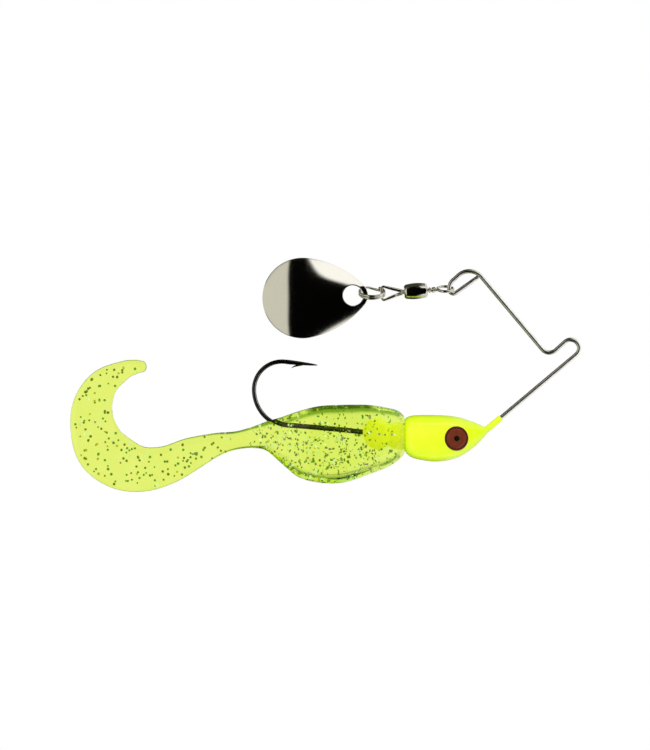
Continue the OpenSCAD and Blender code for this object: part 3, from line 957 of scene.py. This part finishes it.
class Sky:
    """The world: white all round to the eye, and cards of light and dark to metal and plastic.

    Directions are measured in the world: across, deep (away from the front), and degrees to the left, to the
    right and up.
    """

    def __init__(self):
        self.world = bpy.data.worlds.new("studio")
        bpy.context.scene.world = self.world
        self.world.use_nodes = True
        self.tree = self.world.node_tree
        split = self.tree.nodes.new("ShaderNodeSeparateXYZ")
        direction = self.tree.nodes.new("ShaderNodeTexCoord").outputs["Generated"]
        self.tree.links.new(direction, split.inputs[0])
        self.across, self.deep, dz = split.outputs
        towards = self.math("MULTIPLY", self.deep, -1.0)
        never_zero = 1.0001
        off_axis = self.math("SQRT", self.math("SUBTRACT", never_zero, self.both(self.deep, self.deep)))
        self.side = self.math("DIVIDE", self.across, off_axis)
        self.right = self.math("DEGREES", self.math("ARCTAN2", self.across, towards))
        self.left = self.math("MULTIPLY", self.right, -1.0)
        self.up = self.math("DEGREES", self.math("ARCSINE", dz))
        self.total = (0.001, 0.001, 0.001)

    def math(self, operation, *values):
        made = self.tree.nodes.new("ShaderNodeMath")
        made.operation = operation
        for socket, value in zip(made.inputs, values):
            plug(self.tree, socket, value)
        return made.outputs[0]

    def past(self, value, at, width):
        """0 below an edge and 1 above it, through a soft step. A negative width turns it over."""
        made = self.tree.nodes.new("ShaderNodeMapRange")
        made.interpolation_type = "SMOOTHSTEP"
        self.tree.links.new(value, made.inputs["Value"])
        made.inputs["From Min"].default_value = at - width / 2
        made.inputs["From Max"].default_value = at + width / 2
        return made.outputs["Result"]

    def both(self, first, second):
        return self.math("MULTIPLY", first, second)

    def no(self, mask):
        return self.math("SUBTRACT", 1.0, mask)

    def mix(self, factor, first, second):
        return colour_mix(self.tree, factor, first, second)

    def card(self, mask, colour):
        """Lays one more card over those before it."""
        self.total = self.mix(mask, self.total, colour)


def metal_cards(sky):
    """What mirrors see: a cream panel on the left, bright panels on the right and black between them."""
    bow = 0.0028        # how far the cream panel's edge bends to the left above and below level
    bowed = sky.math("SUBTRACT", sky.left, sky.math("MULTIPLY", sky.both(sky.up, sky.up), bow))
    sky.card(sky.past(bowed, 25.4, 6), (0.68, 0.67, 0.57))
    over_right = sky.math("MAXIMUM", sky.math("SUBTRACT", sky.right, 10.5), 0.0)
    over_up = sky.math("MAXIMUM", sky.math("SUBTRACT", sky.up, 27.0), 0.0)
    sky.card(sky.past(sky.both(over_right, over_up), 110, 90), (1.16, 1.15, 1.10))
    to_the_right, downwards = 0.836, 0.549      # of a way 33 degrees below the right
    low_right = sky.math("SUBTRACT", sky.math("MULTIPLY", sky.right, to_the_right),
                         sky.math("MULTIPLY", sky.up, downwards))
    sky.card(sky.both(sky.past(low_right, 57, 6), sky.past(sky.right, 15, 10)), (1.1, 1.08, 1.0))
    far = sky.past(sky.deep, -0.40, 0.14)
    to_right = sky.past(sky.side, 0.3, 0.5)
    dead_left = sky.past(sky.side, -0.93, -0.08)
    sky.card(sky.both(far, sky.both(sky.no(to_right), sky.no(dead_left))), (0.05, 0.05, 0.035))
    sky.card(sky.both(far, to_right), (0.90, 0.89, 0.86))
    return sky.total


def plastic_glow(sky):
    """What the clear plastic lets through: white straight ahead, and olive shade towards back and belly."""
    white = (1.0, 1.0, 1.0)
    upward = sky.past(sky.up, 0, 4)
    bent = sky.mix(upward, (0.30, 0.48, 0.10), (0.18, 0.29, 0.06))
    turned_back = sky.mix(upward, (0.09, 0.15, 0.03), (0.85, 1.0, 0.60))
    glow = sky.mix(sky.past(sky.deep, 0.3, 0.3), turned_back, bent)
    glow = sky.mix(sky.past(sky.up, -68, -10), glow, (0.50, 0.58, 0.35))
    glow = sky.mix(sky.past(sky.deep, -0.86, -0.1), glow, white)
    glow = sky.mix(sky.past(sky.deep, 0.80, 0.14), glow, white)
    sideways = sky.past(sky.math("ABSOLUTE", sky.across), 0.45, 0.2)
    return sky.mix(sideways, glow, white)


def make_world():
    sky = Sky()
    path = sky.tree.nodes.new("ShaderNodeLightPath").outputs
    seen = sky.mix(path["Is Transmission Ray"], metal_cards(sky), plastic_glow(sky))
    seen = sky.mix(path["Is Diffuse Ray"], seen, (0.45, 0.45, 0.45))
    seen = sky.mix(path["Is Camera Ray"], seen, (1.0, 1.0, 1.0))
    sky.tree.links.new(seen, sky.tree.nodes["Background"].inputs["Color"])


def area_light(name, place, target, width, height, watts):
    """A soft light that faces its target: round if it is as wide as it is high."""
    data = bpy.data.lights.new(name, "AREA")
    data.shape = "ELLIPSE" if width == height else "RECTANGLE"
    data.size, data.size_y = width, height
    data.energy = watts
    lamp = bpy.data.objects.new(name, data)
    bpy.context.scene.collection.objects.link(lamp)
    lamp.location = place
    lamp.rotation_euler = (target - place).to_track_quat("-Z", "Y").to_euler()
    lamp.visible_camera = False
    return lamp


def make_fills():
    """Broad soft lights from the front and from behind that light paint and plastic but make no glint."""
    middle = (Vector(cad_box[0]) + Vector(cad_box[1])) / 2
    for name, offset, watts in (("fill_front", (-0.1, -0.6, 0.2), 3.2), ("fill_back", (-0.1, 0.6, 0.2), 2.2)):
        fill = area_light(name, middle + Vector(offset), middle, 0.5, 0.5, watts)
        fill.visible_glossy = False
        fill.visible_transmission = False


def only_on(name, piece):
    """A collection of the one piece that a light is meant for."""
    group = bpy.data.collections.new(name)
    group.objects.link(piece)
    return group


def make_strips(head, wire, hook):
    """Strips above and below that glint on the head, and soft panels at the right for wire and hook."""
    head_middle, all_middle = Vector((-20.5, 0, -14.5)), Vector((-20, 0, 0))
    # [name, piece, middle, direction towards the light, distance, width, height, watts]
    lamps = (("strip_above", head, head_middle, (0, -0.62, 0.79), 0.3, 0.22, 0.035, 0.06),
             ("strip_below", head, head_middle, (0, -0.17, -0.98), 0.3, 0.22, 0.035, 0.06),
             ("panel_wire", wire, all_middle, (0.97, -0.26, 0), 0.3, 0.5, 0.6, 0.7),
             ("panel_hook", hook, all_middle, (0.94, -0.34, 0), 0.3, 0.3, 0.5, 1.8))
    for name, piece, middle, towards, distance, width, height, watts in lamps:
        lamp = area_light(name, middle * MM + Vector(towards) * distance, middle * MM, width, height, watts)
        lamp.visible_transmission = False
        lamp.light_linking.receiver_collection = only_on(name + "_only", piece)


def make_camera():
    """A long lens square to the lure's side, framing 104 by 120 mm."""
    focal, sensor, frame_height = 150, 36, 0.120
    middle_x, middle_z = -0.03931, -0.0043
    data = bpy.data.cameras.new("camera")
    data.lens = focal
    data.sensor_width = sensor
    camera = bpy.data.objects.new("camera", data)
    bpy.context.scene.collection.objects.link(camera)
    camera.location = (middle_x, -frame_height * focal / sensor, middle_z)
    camera.rotation_euler = (math.pi / 2, 0, 0)
    bpy.context.scene.camera = camera


# ------------------------------------------------------------------ the lure

wire = make_wire()
hook = make_hook()
head = make_head()
make_keeper()
make_eye("eye_left", 1)
make_eye("eye_right", -1)
grub = make_grub()
for label, colour, glow, *spread in FLAKES:
    make_flakes(grub, label, flake(label, colour, glow), *spread)
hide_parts("grub_body", "grub_tail")
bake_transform(grub)
make_barrel()
make_front_eye()
make_rear_eye()
make_split_ring()
make_blade()
make_floor()
make_world()
make_fills()
make_strips(head, wire, hook)
make_camera()
bpy.context.scene.view_settings.view_transform = "Standard"
